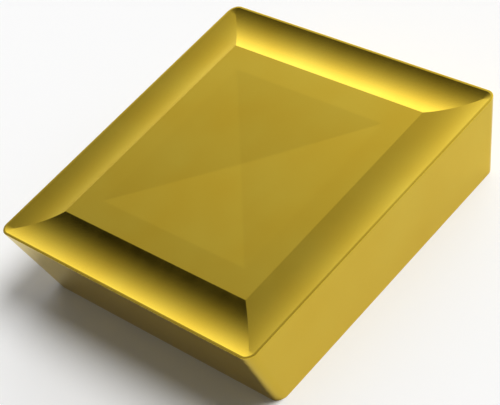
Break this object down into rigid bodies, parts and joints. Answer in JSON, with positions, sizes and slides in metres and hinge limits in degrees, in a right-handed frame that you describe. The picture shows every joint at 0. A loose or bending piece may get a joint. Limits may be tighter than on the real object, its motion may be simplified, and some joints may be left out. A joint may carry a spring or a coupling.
{
  "type": "carbide insert",
  "caption": "Square positive turning insert without a hole, with a moulded chip groove behind all its cutting edges and a gold coating.",
  "frame": {"origin": "centre of the seat, the ground bottom face that the insert rests on", "axes": "+Z from the seat up to the grooved top face, +X and +Y square to two neighbouring cutting edges"},
  "size_m": [0.0126, 0.0126, 0.0032],
  "materials": {
    "gold_coating": "satin titanium nitride coating on sintered tungsten carbide"
  },
  "bodies": {
    "root": {"insert_body": "gold_coating"}
  },
  "joints": []
}
